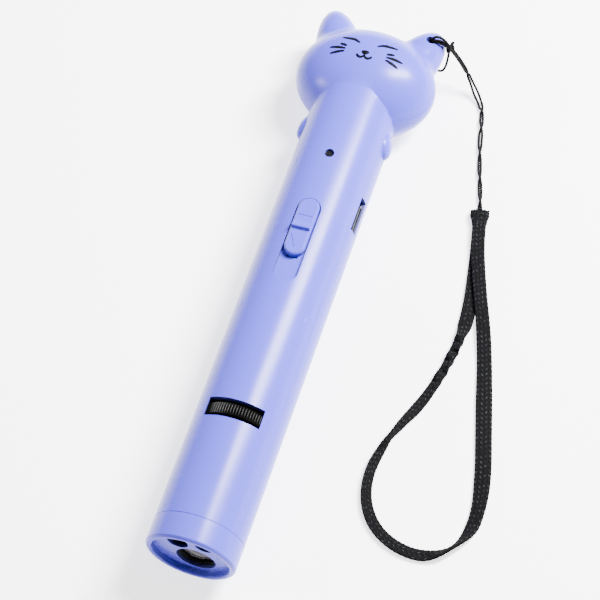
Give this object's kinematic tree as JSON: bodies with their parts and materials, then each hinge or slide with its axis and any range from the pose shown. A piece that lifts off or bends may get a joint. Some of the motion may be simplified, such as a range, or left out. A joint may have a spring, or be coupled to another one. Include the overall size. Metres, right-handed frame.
{
  "type": "cat laser pointer",
  "caption": "Lavender cat-headed laser and pattern pointer with a thumb wheel, a slide switch, a charging socket and a black wrist strap.",
  "frame": {"origin": "on the table surface under the middle of the pointer's overall length, as it lies on its back", "axes": "+Y along the tube from the nose to the cat's head, +Z out of the cat's face, +X towards the charging socket and the strap"},
  "size_m": [0.0788, 0.1558, 0.0238],
  "materials": {
    "casing": "satin",
    "lens": "polished",
    "black_plastic": "satin",
    "white_plastic": "satin",
    "brass": "turned",
    "clear_lamp": "gloss",
    "film": "gloss",
    "steel": "plain",
    "board": "gloss",
    "smoked": "gloss",
    "foil": "satin",
    "tape": "satin",
    "foam": "matte",
    "red_wire": "satin",
    "blue_wire": "satin",
    "white_wire": "satin",
    "cord": "braided",
    "webbing": "woven"
  },
  "bodies": {
    "root": {"front_shell": "casing", "rear_shell": "casing", "nose_cap": "casing", "projection_lens": "lens", "lens_ring": "black_plastic", "optics_holder": "black_plastic", "laser_module": "brass", "uv_lamp": "clear_lamp", "white_lamp": "clear_lamp", "wheel_axle": "steel", "lamp_carrier": "black_plastic", "detent_spring": "steel", "circuit_board": "board", "switch_base": "black_plastic", "switch_can": "steel", "indicator_window": "smoked", "indicator_lamp": "white_plastic", "charge_chip": "black_plastic", "board_parts": "black_plastic", "usb_socket": "steel", "usb_tongue": "white_plastic", "battery": "foil", "battery_tape": "tape", "battery_pad": "foam", "laser_wires": "red_wire", "uv_wires": "blue_wire", "lamp_wires": "white_wire", "battery_wires": "red_wire", "case_screws": "steel", "ear_loop": "cord", "lanyard_knot": "cord", "cord_strand_left": "cord", "cord_strand_right": "cord", "wrist_strap": "webbing", "strap_sewn_end": "webbing"},
    "knob": {"slide_knob": "casing", "switch_lever": "black_plastic", "knob_retainer": "casing"},
    "wheel": {"pattern_wheel": "black_plastic", "pattern_film": "film"}
  },
  "joints": [
    {"name": "knob_slide", "type": "slide", "parent": "root", "child": "knob", "axis": [0, 1, 0], "range_m": [-0.0073, 0]},
    {"name": "wheel_turn", "type": "hinge", "parent": "root", "child": "wheel", "pos_m": [0, -0.04352, 0.01285], "axis": [0, 1, 0], "continuous": true}
  ]
}
